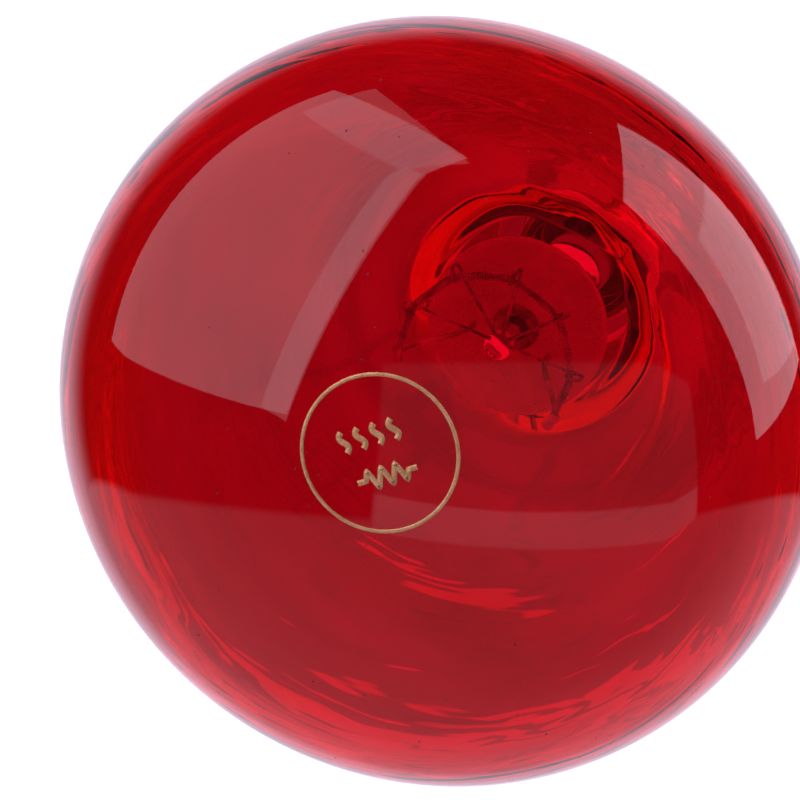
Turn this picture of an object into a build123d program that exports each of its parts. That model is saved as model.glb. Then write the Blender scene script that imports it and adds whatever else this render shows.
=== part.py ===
"""Red infrared heat bulb for brooding chicks: blown envelope, glass mount, filament and screw cap.

Units are millimetres. The bulb stands on its centre contact: +Z runs up the axis to the crown, and
+X is the reading direction of the print on the crown.
"""
from build123d import *
from math import atan2, cos, pi, radians, sin, tan
import os

# Envelope
OVERALL_LENGTH = 173.0
EQUATOR_Z = 135.0
EQUATOR_RADIUS = 62.5
SHOULDER_RADIUS = 31.5
CONE_HALF_ANGLE = 36.0
GLASS_WALL = 1.8
NECK_END_Z = 17.0
NECK_END_RADIUS = 11.2
NECK_LIP_Z = 27.4
NECK_FOOT_RADIUS = 16.2
NECK_FOOT_Z = 33.0
NECK_TAPER = 0.13
NECK_MOUTH_Z = 66.0
NECK_LIP_FILLET = 2.2
NECK_FOOT_FILLET = 9.0
NECK_CONE_FILLET = 15.0

# Screw cap, the common 27 mm domestic screw
THREAD_PITCH = 3.629
THREAD_CREST_RADIUS = 13.1
THREAD_ROOT_RADIUS = 12.04
THREAD_START_Z = 7.0
THREAD_END_Z = 23.0
THREAD_FADE = 2.4
SHELL_WALL = 0.3
SHELL_FOOT_Z = 6.5
SHELL_RIM_Z = 27.0
SHELL_CURL_RADIUS = 1.4
SHELL_LIP_RADIUS = 10.6
THREAD_SAMPLES_PER_TURN = 12
INSULATOR_FOOT_RADIUS = 5.4
INSULATOR_FOOT_Z = 0.9
INSULATOR_HOLE_RADIUS = 1.0
CONTACT_RADIUS = 4.8
CONTACT_THICKNESS = 0.4
SOLDER_FACE_RADIUS = 2.4
SOLDER_SEAT_RADIUS = 3.2
INSULATOR_SEAT_GAP = 0.04
INSULATOR_DISH_RADIUS = 9.0
INSULATOR_BOSS_RADIUS = 4.0
INSULATOR_BOSS_Z = 3.6
SOLDER_PLUG_TOP_Z = 1.8
SOLDER_PLUG_GAP = 0.02
SIDE_SOLDER_RADIUS = 1.15
CEMENT_FOOT_Z = 17.6
CEMENT_TOP_Z = 26.6
CEMENT_GAP = 0.02

# Stem, which is the glass part that carries the wires
MOUNT_TURN = -40.0
STEM_TUBE_RADIUS = 6.2
STEM_WALL = 1.0
FLARE_THICKNESS = 1.3
PRESS_FOOT_Z = 38.0
PRESS_FLAT_Z = 44.0
PRESS_TOP_Z = 50.0
PRESS_HALF_THICKNESS = 2.5
EXHAUST_RADIUS = 2.2
EXHAUST_WALL = 0.6
EXHAUST_TIP_Z = 12.5
EXHAUST_TIP_LENGTH = 4.0
EXHAUST_TIP_RADIUS = 0.9
BLOW_HOLE_RADIUS = 0.9
BLOW_HOLE_Z = 41.0
ARBOR_RADIUS = 1.6
ARBOR_TOP_Z = 94.0
BUTTON_RADIUS = 2.6

# Wires
LEAD_SPACING = 8.0
LEAD_RADIUS = 0.5
DUMET_RADIUS = 0.35
CENTRE_LEAD_RADIUS = 0.3
SIDE_LEAD_RADIUS = 0.2
SIDE_LEAD_TRACK = 11.45
FUSE_RADIUS = 0.15
FUSE_FOOT_Z = 30.0
SEAL_FOOT_Z = 40.0
SEAL_TOP_Z = 48.0
LEAD_BEND = 2.5
SUPPORT_RADIUS = 0.3
SUPPORT_BEND = 0.8
HOOK_REACH = 1.5
HOOK_RISE = 1.4
COIL_RADIUS = 0.8
COIL_BEND = 3.0
FILAMENT_RADIUS = 15.0
FILAMENT_Z = 105.0
FILAMENT_ANGLES = [160.0, 128.0, 92.0, 52.0, 12.0, -28.0, -60.0]
CLAMP_RADIUS = 1.3
CLAMP_LENGTH = 3.2

# Heat deflector across the mouth of the neck
DEFLECTOR_Z = 81.0
DEFLECTOR_RADIUS = 15.7
DEFLECTOR_THICKNESS = 0.4
DEFLECTOR_RIM_HEIGHT = 1.6
DEFLECTOR_LEAD_RADIUS = 7.4
DEFLECTOR_LEAD_HOLE_RADIUS = 1.1
DEFLECTOR_BORE_GAP = 0.1
COLLAR_WALL = 0.5
COLLAR_LENGTH = 4.0
COLLAR_FLANGE_RADIUS = 4.0
COLLAR_GAP = 0.03

# Print fired on the crown
PRINT_THICKNESS = 0.04
PRINT_OFFSET = (0.3, 2.1)
PRINT_RING_RADIUS = 12.3
PRINT_LINE = 0.55
SYMBOL_WIDTH = 9.8
SYMBOL_HEIGHT = 3.1
WAVE_COUNT = 4
WAVE_SWAY = 0.5
WAVE_MARGIN = 1.5
ZIGZAG_PEAKS = 6
ZIGZAG_LEAD = 1.4
UPPER_ROW = (-0.6, 3.1)
LOWER_ROW = (0.2, -3.5)

# The crown arc is centred on the axis and meets the shoulder arc without a corner.
SHOULDER_CENTRE_RADIUS = EQUATOR_RADIUS - SHOULDER_RADIUS
CROWN_HEIGHT = OVERALL_LENGTH - EQUATOR_Z
CROWN_RADIUS = (SHOULDER_CENTRE_RADIUS**2 + CROWN_HEIGHT**2 - SHOULDER_RADIUS**2) / (
    2 * (CROWN_HEIGHT - SHOULDER_RADIUS)
)
CROWN_CENTRE_Z = OVERALL_LENGTH - CROWN_RADIUS
THREAD_MEAN_RADIUS = (THREAD_CREST_RADIUS + THREAD_ROOT_RADIUS) / 2
THREAD_HALF_DEPTH = (THREAD_CREST_RADIUS - THREAD_ROOT_RADIUS) / 2


def round_bar(points, bar_radius, corner_radius=None):
    """A round wire or rod along straight runs joined by tangent arcs."""
    path = FilletPolyline(*points, radius=corner_radius) if corner_radius else Line(*points)
    section = Plane(origin=path @ 0, z_dir=path % 0) * Circle(bar_radius)
    return sweep(section, path=path)


def turned(shape):
    """The shape turned with the stem about the bulb's axis."""
    return Rot(0, 0, MOUNT_TURN) * shape


def polar(radius, angle, z):
    """A point at this radius and angle about the bulb's axis."""
    return (radius * cos(radians(angle)), radius * sin(radians(angle)), z)


def envelope_body(inset):
    """The solid inside the envelope's outline, set in from the outer surface by inset."""
    shoulder = SHOULDER_RADIUS - inset
    crown = CROWN_RADIUS - inset
    slope = radians(CONE_HALF_ANGLE)
    cone_end = (
        SHOULDER_CENTRE_RADIUS + shoulder * cos(slope),
        EQUATOR_Z - shoulder * sin(slope),
    )
    crown_slope = atan2(EQUATOR_Z - CROWN_CENTRE_Z, SHOULDER_CENTRE_RADIUS)
    crown_end = (crown * cos(crown_slope), CROWN_CENTRE_Z + crown * sin(crown_slope))
    half_slope = crown_slope / 2
    shoulder_middle = (
        SHOULDER_CENTRE_RADIUS + shoulder * cos(half_slope),
        EQUATOR_Z + shoulder * sin(half_slope),
    )
    crown_middle_slope = (crown_slope + pi / 2) / 2
    crown_middle = (
        crown * cos(crown_middle_slope),
        CROWN_CENTRE_Z + crown * sin(crown_middle_slope),
    )
    foot = (NECK_FOOT_RADIUS - inset, NECK_FOOT_Z)
    # The neck's taper and the cone meet where both give the same radius.
    cone_gain = tan(slope)
    corner_z = (foot[0] - cone_end[0] + cone_gain * cone_end[1] - NECK_TAPER * foot[1]) / (
        cone_gain - NECK_TAPER
    )
    corner = (foot[0] + NECK_TAPER * (corner_z - foot[1]), corner_z)
    lip = (NECK_END_RADIUS - inset, NECK_LIP_Z + inset / 2)
    end = (NECK_END_RADIUS - inset, NECK_END_Z)
    neck = FilletPolyline(
        end,
        lip,
        foot,
        corner,
        cone_end,
        radius=[NECK_LIP_FILLET + inset, NECK_FOOT_FILLET - inset, NECK_CONE_FILLET + inset],
    )
    back = ThreePointArc(cone_end, (EQUATOR_RADIUS - inset, EQUATOR_Z), shoulder_middle)
    front = RadiusArc(shoulder_middle, crown_end, -shoulder)
    crown_arc = ThreePointArc(crown_end, crown_middle, (0, OVERALL_LENGTH - inset))
    axis_line = Polyline((0, OVERALL_LENGTH - inset), (0, NECK_END_Z), end)
    outline = make_face([*neck.edges(), back, front, crown_arc, *axis_line.edges()])
    return revolve(Plane.XZ * outline, Axis.Z)


def make_envelope():
    """The blown glass as its two stretches, the bowl and the neck, which meet at the neck's mouth."""
    envelope = envelope_body(0) - envelope_body(GLASS_WALL)
    halves = split(envelope, Plane.XY.offset(NECK_MOUTH_Z), keep=Keep.BOTH).solids()
    return sorted(halves, key=lambda half: half.center().Z)


def thread_path():
    """The line that a level circle follows to draw the rolled thread: a fine helix that fades."""
    steps = round((SHELL_RIM_Z - SHELL_FOOT_Z) / THREAD_PITCH * THREAD_SAMPLES_PER_TURN)
    points = []
    for step in range(steps + 1):
        z = SHELL_FOOT_Z + (SHELL_RIM_Z - SHELL_FOOT_Z) * step / steps
        rise = min(max((z - THREAD_START_Z) / THREAD_FADE, 0), 1)
        fall = min(max((THREAD_END_Z - z) / THREAD_FADE, 0), 1)
        offset = THREAD_HALF_DEPTH * sin(rise * pi / 2) ** 2 * sin(fall * pi / 2) ** 2
        turn = 2 * pi * z / THREAD_PITCH
        points.append((offset * cos(turn), offset * sin(turn), z))
    return Spline(*points)


def threaded_body(radius):
    section = Pos(0, 0, SHELL_FOOT_Z) * Circle(radius)
    return sweep(section, path=thread_path(), normal=(0, 0, 1))


def make_screw_shell():
    threaded = threaded_body(THREAD_MEAN_RADIUS) - threaded_body(THREAD_MEAN_RADIUS - SHELL_WALL)
    outer = THREAD_MEAN_RADIUS
    inner = THREAD_MEAN_RADIUS - SHELL_WALL
    centre = outer - SHELL_CURL_RADIUS
    foot = SHELL_FOOT_Z - SHELL_CURL_RADIUS
    bend = sin(radians(45))
    wall_middle = SHELL_CURL_RADIUS - SHELL_WALL
    curl = [
        ThreePointArc(
            (outer, SHELL_FOOT_Z),
            (centre + SHELL_CURL_RADIUS * bend, SHELL_FOOT_Z - SHELL_CURL_RADIUS * bend),
            (centre, foot),
        ),
        Line((centre, foot), (SHELL_LIP_RADIUS, foot)),
        Line((SHELL_LIP_RADIUS, foot), (SHELL_LIP_RADIUS, foot + SHELL_WALL)),
        Line((SHELL_LIP_RADIUS, foot + SHELL_WALL), (centre, foot + SHELL_WALL)),
        ThreePointArc(
            (centre, foot + SHELL_WALL),
            (centre + wall_middle * bend, SHELL_FOOT_Z - wall_middle * bend),
            (inner, SHELL_FOOT_Z),
        ),
        Line((inner, SHELL_FOOT_Z), (outer, SHELL_FOOT_Z)),
    ]
    return threaded + revolve(Plane.XZ * make_face(curl), Axis.Z)


def make_insulator():
    """Black glass, moulded into the foot of the shell round the hole for the centre wire."""
    gap = INSULATOR_SEAT_GAP
    seat = THREAD_MEAN_RADIUS - SHELL_WALL - gap
    foot = SHELL_FOOT_Z - SHELL_CURL_RADIUS
    centre = THREAD_MEAN_RADIUS - SHELL_CURL_RADIUS
    curl = seat - centre
    points = [
        (INSULATOR_HOLE_RADIUS, INSULATOR_FOOT_Z),
        (INSULATOR_FOOT_RADIUS, INSULATOR_FOOT_Z),
        (INSULATOR_FOOT_RADIUS + 0.9, INSULATOR_FOOT_Z + 0.5),
        (SHELL_LIP_RADIUS - gap, foot - 0.2),
        (SHELL_LIP_RADIUS - gap, foot + SHELL_WALL + gap),
        (centre, foot + SHELL_WALL + gap),
    ]
    top = [
        (seat, SHELL_FOOT_Z),
        (seat - 0.4, SHELL_FOOT_Z + 0.6),
        (INSULATOR_DISH_RADIUS, SHELL_FOOT_Z + 0.2),
        (INSULATOR_BOSS_RADIUS, INSULATOR_BOSS_Z),
        (INSULATOR_HOLE_RADIUS, INSULATOR_BOSS_Z - 0.2),
        (INSULATOR_HOLE_RADIUS, INSULATOR_FOOT_Z),
    ]
    middle = (centre + curl * cos(pi / 4), SHELL_FOOT_Z - curl * sin(pi / 4))
    bend = ThreePointArc(points[-1], middle, top[0])
    outline = make_face([*Polyline(*points).edges(), bend, *Polyline(*top).edges()])
    return revolve(Plane.XZ * outline, Axis.Z)


def make_contact():
    """The stamped plate at the foot of the cap."""
    plate_foot = INSULATOR_FOOT_Z - CONTACT_THICKNESS
    points = [
        (INSULATOR_HOLE_RADIUS, plate_foot),
        (CONTACT_RADIUS - 0.3, plate_foot),
        (CONTACT_RADIUS, plate_foot + 0.2),
        (CONTACT_RADIUS, INSULATOR_FOOT_Z),
        (INSULATOR_HOLE_RADIUS, INSULATOR_FOOT_Z),
    ]
    return revolve(Plane.XZ * make_face(Polyline(*points, close=True)), Axis.Z)


def make_centre_solder(centre_lead):
    """A flat-faced button of solder that plugs the plate's hole round the centre lead."""
    plate_foot = INSULATOR_FOOT_Z - CONTACT_THICKNESS
    plug = INSULATOR_HOLE_RADIUS - SOLDER_PLUG_GAP
    points = [(0, 0), (SOLDER_FACE_RADIUS, 0), (SOLDER_SEAT_RADIUS, plate_foot), (plug, plate_foot)]
    points += [(plug, SOLDER_PLUG_TOP_Z - 0.1), (0, SOLDER_PLUG_TOP_Z)]
    return revolve(Plane.XZ * make_face(Polyline(*points, close=True)), Axis.Z) - centre_lead


def make_cement():
    """Basing cement: fills the shell's inside down to the neck's sealed end."""
    core = threaded_body(THREAD_MEAN_RADIUS - SHELL_WALL - CEMENT_GAP)
    band = Pos(0, 0, CEMENT_FOOT_Z) * extrude(Circle(THREAD_CREST_RADIUS), CEMENT_TOP_Z - CEMENT_FOOT_Z)
    return (core & band) - Pos(0, 0, NECK_END_Z) * Cylinder(
        NECK_END_RADIUS + CEMENT_GAP, 2 * (CEMENT_TOP_Z - NECK_END_Z)
    )


def make_flare():
    """The stem's tube, opened into a trumpet that is sealed to the end of the neck."""
    throat = STEM_TUBE_RADIUS - STEM_WALL
    rim = NECK_END_RADIUS
    rim_foot = NECK_END_Z - FLARE_THICKNESS
    sweep_radius = rim - GLASS_WALL - STEM_TUBE_RADIUS
    bend = 1 - cos(radians(45))
    top_of_bend = NECK_END_Z + sweep_radius
    inner_radius = sweep_radius + FLARE_THICKNESS
    inner_top = rim_foot + inner_radius
    outline = [
        Line((rim, rim_foot), (rim, NECK_END_Z)),
        Line((rim, NECK_END_Z), (STEM_TUBE_RADIUS + sweep_radius, NECK_END_Z)),
        ThreePointArc(
            (STEM_TUBE_RADIUS + sweep_radius, NECK_END_Z),
            (STEM_TUBE_RADIUS + sweep_radius * bend, NECK_END_Z + sweep_radius * bend),
            (STEM_TUBE_RADIUS, top_of_bend),
        ),
        Line((STEM_TUBE_RADIUS, top_of_bend), (STEM_TUBE_RADIUS, PRESS_FOOT_Z)),
        Line((STEM_TUBE_RADIUS, PRESS_FOOT_Z), (throat, PRESS_FOOT_Z)),
        Line((throat, PRESS_FOOT_Z), (throat, inner_top)),
        ThreePointArc(
            (throat, inner_top),
            (throat + inner_radius * bend, rim_foot + inner_radius * bend),
            (throat + inner_radius, rim_foot),
        ),
        Line((throat + inner_radius, rim_foot), (rim, rim_foot)),
    ]
    return revolve(Plane.XZ * make_face(outline), Axis.Z)


def make_press(wires, exhaust_bore):
    """The hot glass of the stem, pinched flat round the wires."""
    jaws = [
        (-STEM_TUBE_RADIUS, PRESS_FOOT_Z),
        (STEM_TUBE_RADIUS, PRESS_FOOT_Z),
        (PRESS_HALF_THICKNESS, PRESS_FLAT_Z),
        (PRESS_HALF_THICKNESS, PRESS_TOP_Z),
        (-PRESS_HALF_THICKNESS, PRESS_TOP_Z),
        (-PRESS_HALF_THICKNESS, PRESS_FLAT_Z),
    ]
    slab = extrude(Plane.YZ * make_face(Polyline(*jaws, close=True)), STEM_TUBE_RADIUS, both=True)
    height = PRESS_TOP_Z - PRESS_FOOT_Z
    tube = Pos(0, 0, PRESS_FOOT_Z) * extrude(Circle(STEM_TUBE_RADIUS), height)
    blow_hole = Pos(0, STEM_TUBE_RADIUS / 2, BLOW_HOLE_Z) * Rot(90, 0, 0) * Cylinder(
        BLOW_HOLE_RADIUS, STEM_TUBE_RADIUS
    )
    pressed = turned((slab & tube) - blow_hole) - exhaust_bore
    for wire in wires:
        pressed -= wire
    return pressed


def make_exhaust_bore():
    """The channel that the exhaust tube leaves in the press, up to the blow hole."""
    height = BLOW_HOLE_Z + BLOW_HOLE_RADIUS - PRESS_FOOT_Z
    return Pos(0, 0, PRESS_FOOT_Z) * extrude(Circle(EXHAUST_RADIUS - EXHAUST_WALL), height)


def make_exhaust_tube():
    """Drawn down to a closed tip where it was tipped off after pumping."""
    bore = EXHAUST_RADIUS - EXHAUST_WALL
    shoulder_z = EXHAUST_TIP_Z + EXHAUST_TIP_LENGTH
    points = [
        (0, EXHAUST_TIP_Z),
        (EXHAUST_TIP_RADIUS, EXHAUST_TIP_Z + 0.5),
        (EXHAUST_RADIUS, shoulder_z),
        (EXHAUST_RADIUS, PRESS_FOOT_Z),
        (bore, PRESS_FOOT_Z),
        (bore, shoulder_z + EXHAUST_WALL),
        (0, EXHAUST_TIP_Z + EXHAUST_RADIUS),
    ]
    return revolve(Plane.XZ * make_face(Polyline(*points, close=True)), Axis.Z)


def make_arbor(supports):
    """The glass rod over the press, with the button that holds the support wires."""
    rod = Pos(0, 0, PRESS_TOP_Z) * extrude(Circle(ARBOR_RADIUS), ARBOR_TOP_Z - PRESS_TOP_Z)
    arbor = rod + Pos(0, 0, ARBOR_TOP_Z) * Sphere(BUTTON_RADIUS)
    for support in supports:
        arbor -= support
    return arbor


def lead_foot(side):
    """Where an inner lead leaves the press: side is +1 or -1."""
    return polar(side * LEAD_SPACING / 2, MOUNT_TURN, SEAL_TOP_Z)


def deflector_hole(side):
    """Where a lead passes the deflector, on its way out to the end of the filament."""
    angle = FILAMENT_ANGLES[-1] if side > 0 else FILAMENT_ANGLES[0]
    return polar(DEFLECTOR_LEAD_RADIUS, angle, DEFLECTOR_Z)


def make_lead(side):
    """An inner lead: from the seal through the deflector and out to the end of the filament."""
    foot = lead_foot(side)
    hole = deflector_hole(side)
    angle = FILAMENT_ANGLES[-1] if side > 0 else FILAMENT_ANGLES[0]
    points = [
        foot,
        (foot[0], foot[1], PRESS_TOP_Z + 6),
        (hole[0], hole[1], DEFLECTOR_Z - 8),
        (hole[0], hole[1], DEFLECTOR_Z + 6),
        polar(FILAMENT_RADIUS, angle, FILAMENT_Z - 5),
        polar(FILAMENT_RADIUS, angle, FILAMENT_Z - COIL_RADIUS - 0.1),
    ]
    return round_bar(points, LEAD_RADIUS, LEAD_BEND)


def make_seal_wire(side):
    x = side * LEAD_SPACING / 2
    return turned(round_bar([(x, 0, SEAL_FOOT_Z), (x, 0, SEAL_TOP_Z)], DUMET_RADIUS))


def make_centre_lead():
    """From the fuse down past the tipped-off tube to the centre contact."""
    x = -LEAD_SPACING / 2
    foot = INSULATOR_FOOT_Z + 0.1
    points = [(x, 0, FUSE_FOOT_Z), (x, 0, EXHAUST_TIP_Z), (0, 0, EXHAUST_TIP_Z + x), (0, 0, foot)]
    return turned(round_bar(points, CENTRE_LEAD_RADIUS, abs(x) / 2))


def make_fuse():
    """The thin stretch of wire that melts if the filament arcs."""
    x = -LEAD_SPACING / 2
    return turned(round_bar([(x, 0, FUSE_FOOT_Z), (x, 0, SEAL_FOOT_Z)], FUSE_RADIUS))


def make_side_lead():
    """From the seal down round the rim of the neck and up to the solder on the shell's rim."""
    x = LEAD_SPACING / 2
    points = [
        (x, 0, SEAL_FOOT_Z),
        (x, 0, NECK_END_Z),
        (7.5, 0, 12.6),
        (SIDE_LEAD_TRACK, 0, 13.6),
        (SIDE_LEAD_TRACK, 0, 22),
        (SIDE_LEAD_TRACK + 0.3, 0, SHELL_RIM_Z + 0.2),
    ]
    return turned(round_bar(points, SIDE_LEAD_RADIUS, 1.0))


def make_side_solder(shell, side_lead, cement):
    """The bead of solder that joins the side lead to the shell's rim."""
    place = Pos(THREAD_MEAN_RADIUS - 0.2, 0, SHELL_RIM_Z + 0.1)
    blob = turned(place * Sphere(SIDE_SOLDER_RADIUS))
    return blob - envelope_body(0) - shell - side_lead - cement


def filament_points():
    return [polar(FILAMENT_RADIUS, angle, FILAMENT_Z) for angle in FILAMENT_ANGLES]


def make_filament():
    """The coil's outer form, hung through the support hooks between the two clamps."""
    return round_bar(filament_points(), COIL_RADIUS, COIL_BEND)


def make_support(angle):
    """A molybdenum wire from the button, hooked round the coil."""
    hook = FILAMENT_RADIUS + HOOK_REACH
    profile = [
        (BUTTON_RADIUS / 2, ARBOR_TOP_Z),
        (FILAMENT_RADIUS - 2.6, FILAMENT_Z - 3 * HOOK_RISE),
        (hook, FILAMENT_Z - 2.6),
        (hook, FILAMENT_Z + HOOK_RISE),
        (hook - 2.1, FILAMENT_Z + HOOK_RISE),
    ]
    points = [polar(radius, angle, z) for radius, z in profile]
    return round_bar(points, SUPPORT_RADIUS, SUPPORT_BEND)


def make_clamp(side, filament, lead):
    """The end of the lead, flattened and folded over the filament's tail."""
    points = filament_points()
    end, inner = (points[-1], points[-2]) if side > 0 else (points[0], points[1])
    sleeve = Plane(origin=end, z_dir=Vector(*inner) - Vector(*end)) * Cylinder(CLAMP_RADIUS, CLAMP_LENGTH)
    return sleeve - filament - lead


def make_deflector():
    """A pressed disc with a turned-up rim that keeps the heat out of the neck and cap."""
    plate = Pos(0, 0, DEFLECTOR_Z) * extrude(Circle(DEFLECTOR_RADIUS), DEFLECTOR_THICKNESS)
    rim = Circle(DEFLECTOR_RADIUS) - Circle(DEFLECTOR_RADIUS - DEFLECTOR_THICKNESS)
    disc = plate + Pos(0, 0, DEFLECTOR_Z) * extrude(rim, -DEFLECTOR_RIM_HEIGHT)
    drill = 4 * DEFLECTOR_THICKNESS
    bore = ARBOR_RADIUS + COLLAR_WALL + DEFLECTOR_BORE_GAP
    disc -= Pos(0, 0, DEFLECTOR_Z) * Cylinder(bore, drill)
    for side in (1, -1):
        disc -= Pos(*deflector_hole(side)) * Cylinder(DEFLECTOR_LEAD_HOLE_RADIUS, drill)
    return disc


def make_collar():
    """The sleeve that clinches the deflector to the arbor."""
    bore = ARBOR_RADIUS + COLLAR_GAP
    sleeve = Circle(bore + COLLAR_WALL) - Circle(bore)
    flange = Circle(COLLAR_FLANGE_RADIUS) - Circle(bore)
    foot = DEFLECTOR_Z - COLLAR_LENGTH
    collar = Pos(0, 0, foot) * extrude(sleeve, COLLAR_LENGTH + DEFLECTOR_THICKNESS)
    return collar + Pos(0, 0, DEFLECTOR_Z - COLLAR_WALL) * extrude(flange, COLLAR_WALL)


def crown_ink(sketch):
    """A print of the sketch on the crown, as a skin of fired ink."""
    column = Pos(*PRINT_OFFSET, EQUATOR_Z) * extrude(sketch, 2 * CROWN_HEIGHT)
    centre = Pos(0, 0, CROWN_CENTRE_Z)
    skin = centre * Sphere(CROWN_RADIUS + PRINT_THICKNESS) - centre * Sphere(CROWN_RADIUS)
    return column & skin


def heat_wave(x):
    """One upright wavy stroke of the heat sign."""
    quarter = SYMBOL_HEIGHT / 4
    heights = [-2 * quarter, -quarter, 0, quarter, 2 * quarter]
    sways = [0, WAVE_SWAY, 0, -WAVE_SWAY, 0]
    points = [(UPPER_ROW[0] + x + dx, UPPER_ROW[1] + y) for dx, y in zip(sways, heights)]
    return trace(Spline(*points), PRINT_LINE)


def make_heat_sign():
    """Four upright wavy strokes, the common sign for heat."""
    step = (SYMBOL_WIDTH - WAVE_MARGIN) / (WAVE_COUNT - 1)
    places = [(index - (WAVE_COUNT - 1) / 2) * step for index in range(WAVE_COUNT)]
    strokes = [crown_ink(heat_wave(x)) for x in places]
    return Compound(children=[stroke.solid() for stroke in strokes])


def make_element_sign():
    """The sign for a heating element: a zigzag between two short leads."""
    half = SYMBOL_WIDTH / 2
    run = half - ZIGZAG_LEAD
    height = SYMBOL_HEIGHT / 2 - PRINT_LINE / 2
    points = [(-half, 0), (-run, 0)]
    for index in range(ZIGZAG_PEAKS):
        x = -run + (index + 0.5) * 2 * run / ZIGZAG_PEAKS
        points.append((x, height if index % 2 == 0 else -height))
    points += [(run, 0), (half, 0)]
    placed = [(LOWER_ROW[0] + x, LOWER_ROW[1] + y) for x, y in points]
    return crown_ink(trace(Polyline(*placed), PRINT_LINE))


def make_print_ring():
    ring = Circle(PRINT_RING_RADIUS + PRINT_LINE / 2) - Circle(PRINT_RING_RADIUS - PRINT_LINE / 2)
    return crown_ink(ring)


def main():
    os.makedirs("parts", exist_ok=True)
    parts = {}
    leads = {side: make_lead(side) for side in (1, -1)}
    seals = {side: make_seal_wire(side) for side in (1, -1)}
    fuse = make_fuse()
    side_lead = make_side_lead()
    centre_lead = make_centre_lead()
    filament = make_filament()
    supports = [make_support(angle) for angle in FILAMENT_ANGLES[1:-1]]
    shell = make_screw_shell()
    cement = make_cement() - side_lead

    parts["glass_neck"], parts["glass_bowl"] = make_envelope()
    parts["stem_flare"] = make_flare()
    press_wires = [*leads.values(), *seals.values(), fuse, side_lead]
    parts["stem_press"] = make_press(press_wires, make_exhaust_bore())
    parts["exhaust_tube"] = make_exhaust_tube()
    parts["glass_arbor"] = make_arbor(supports)
    parts["lead_in_right"] = leads[1]
    parts["lead_in_left"] = leads[-1]
    parts["seal_wire_right"] = seals[1]
    parts["seal_wire_left"] = seals[-1]
    parts["fuse_wire"] = fuse
    parts["centre_lead"] = centre_lead
    parts["side_lead"] = side_lead
    parts["filament_coil"] = filament
    for number, support in enumerate(supports, start=1):
        parts[f"support_wire_{number}"] = support
    parts["filament_clamp_right"] = make_clamp(1, filament, leads[1])
    parts["filament_clamp_left"] = make_clamp(-1, filament, leads[-1])
    parts["heat_deflector"] = make_deflector()
    parts["deflector_collar"] = make_collar()
    parts["screw_shell"] = shell
    parts["cap_insulator"] = make_insulator()
    parts["centre_contact"] = make_contact()
    parts["centre_solder"] = make_centre_solder(centre_lead)
    parts["side_solder"] = make_side_solder(shell, side_lead, cement)
    parts["basing_cement"] = cement
    parts["print_ring"] = make_print_ring()
    parts["print_heat_sign"] = make_heat_sign()
    parts["print_element_sign"] = make_element_sign()

    for name, shape in parts.items():
        export_step(shape, f"parts/{name}.step")
        print(name, len(shape.solids()), round(shape.volume, 2))


main()
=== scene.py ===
# %% [markdown]
# # A red infrared heat bulb in Blender
# This bulb warms chicks and other small stock. It is a blown shell of red glass with a printed sign on its
# crown, a glass mount that carries a coiled filament, and a screw cap. The CAD model gives every place and
# size, so the lesson starts by loading it as a fixed frame and then gives each piece its final surface and
# material.

# %% Load the fixed frame
from math import acos, atan2, cos, pi, radians, sin, tan

import bmesh
import bpy
from mathutils import Matrix, Vector


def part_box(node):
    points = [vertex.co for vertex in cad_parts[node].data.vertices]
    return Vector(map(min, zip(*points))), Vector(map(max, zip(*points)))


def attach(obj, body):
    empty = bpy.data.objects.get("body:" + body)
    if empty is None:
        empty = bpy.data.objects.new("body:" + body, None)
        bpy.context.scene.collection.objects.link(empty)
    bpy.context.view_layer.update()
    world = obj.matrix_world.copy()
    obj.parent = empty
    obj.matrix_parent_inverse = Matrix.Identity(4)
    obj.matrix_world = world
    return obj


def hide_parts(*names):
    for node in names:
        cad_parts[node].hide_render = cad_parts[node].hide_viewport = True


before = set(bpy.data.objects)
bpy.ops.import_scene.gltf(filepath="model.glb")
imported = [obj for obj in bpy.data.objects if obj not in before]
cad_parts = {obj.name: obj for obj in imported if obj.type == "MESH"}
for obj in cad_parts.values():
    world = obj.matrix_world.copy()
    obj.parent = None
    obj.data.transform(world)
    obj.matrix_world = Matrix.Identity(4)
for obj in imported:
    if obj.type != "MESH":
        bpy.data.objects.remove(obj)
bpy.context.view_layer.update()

# %% [markdown]
# ## Sizes that everything shares
# A lathe-turned thing is known by a few numbers. The corners of the CAD nodes give most of them, and the
# rest are the radii of the arcs of the glassblower's mould.

# %% Read the main sizes from the frame
MM = 0.001
ROOT = "root"
bowl_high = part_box("glass_bowl")[1]
neck_low, neck_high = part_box("glass_neck")
shell_low, shell_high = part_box("screw_shell")
CROWN_Z = bowl_high.z
EQUATOR_R = bowl_high.x
EQUATOR_Z = 135 * MM
SHOULDER_R = 31.5 * MM
GLASS_WALL = 1.8 * MM
SHOULDER_CENTRE_R = EQUATOR_R - SHOULDER_R
CROWN_HEIGHT = CROWN_Z - EQUATOR_Z
CROWN_R = (SHOULDER_CENTRE_R**2 + CROWN_HEIGHT**2 - SHOULDER_R**2) / (2 * (CROWN_HEIGHT - SHOULDER_R))
CROWN_CENTRE_Z = CROWN_Z - CROWN_R
print("equator radius", round(EQUATOR_R, 4), "crown radius", round(CROWN_R, 4))

# %% [markdown]
# ## The camera
# The bulb is seen almost from the front: the eye stands 20 degrees off the axis, and the picture is rolled
# so that the crown points down and to the left. A long lens keeps the outline close to a circle. The
# camera's matrix is built from three unit vectors, which is easier to control than three angles.

# %% Set up the camera
VIEW_TILT = radians(20.2)
VIEW_AZIMUTH = radians(28.6)
AXIS_IN_PICTURE = radians(226.2)
VIEW_DISTANCE = 0.700
FOCAL_LENGTH = 197.1
SENSOR = 36.0
SIDE_STEP = 0.0094
DOWN_STEP = 0.0012


def unit(vector):
    return Vector(vector).normalized()


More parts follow.
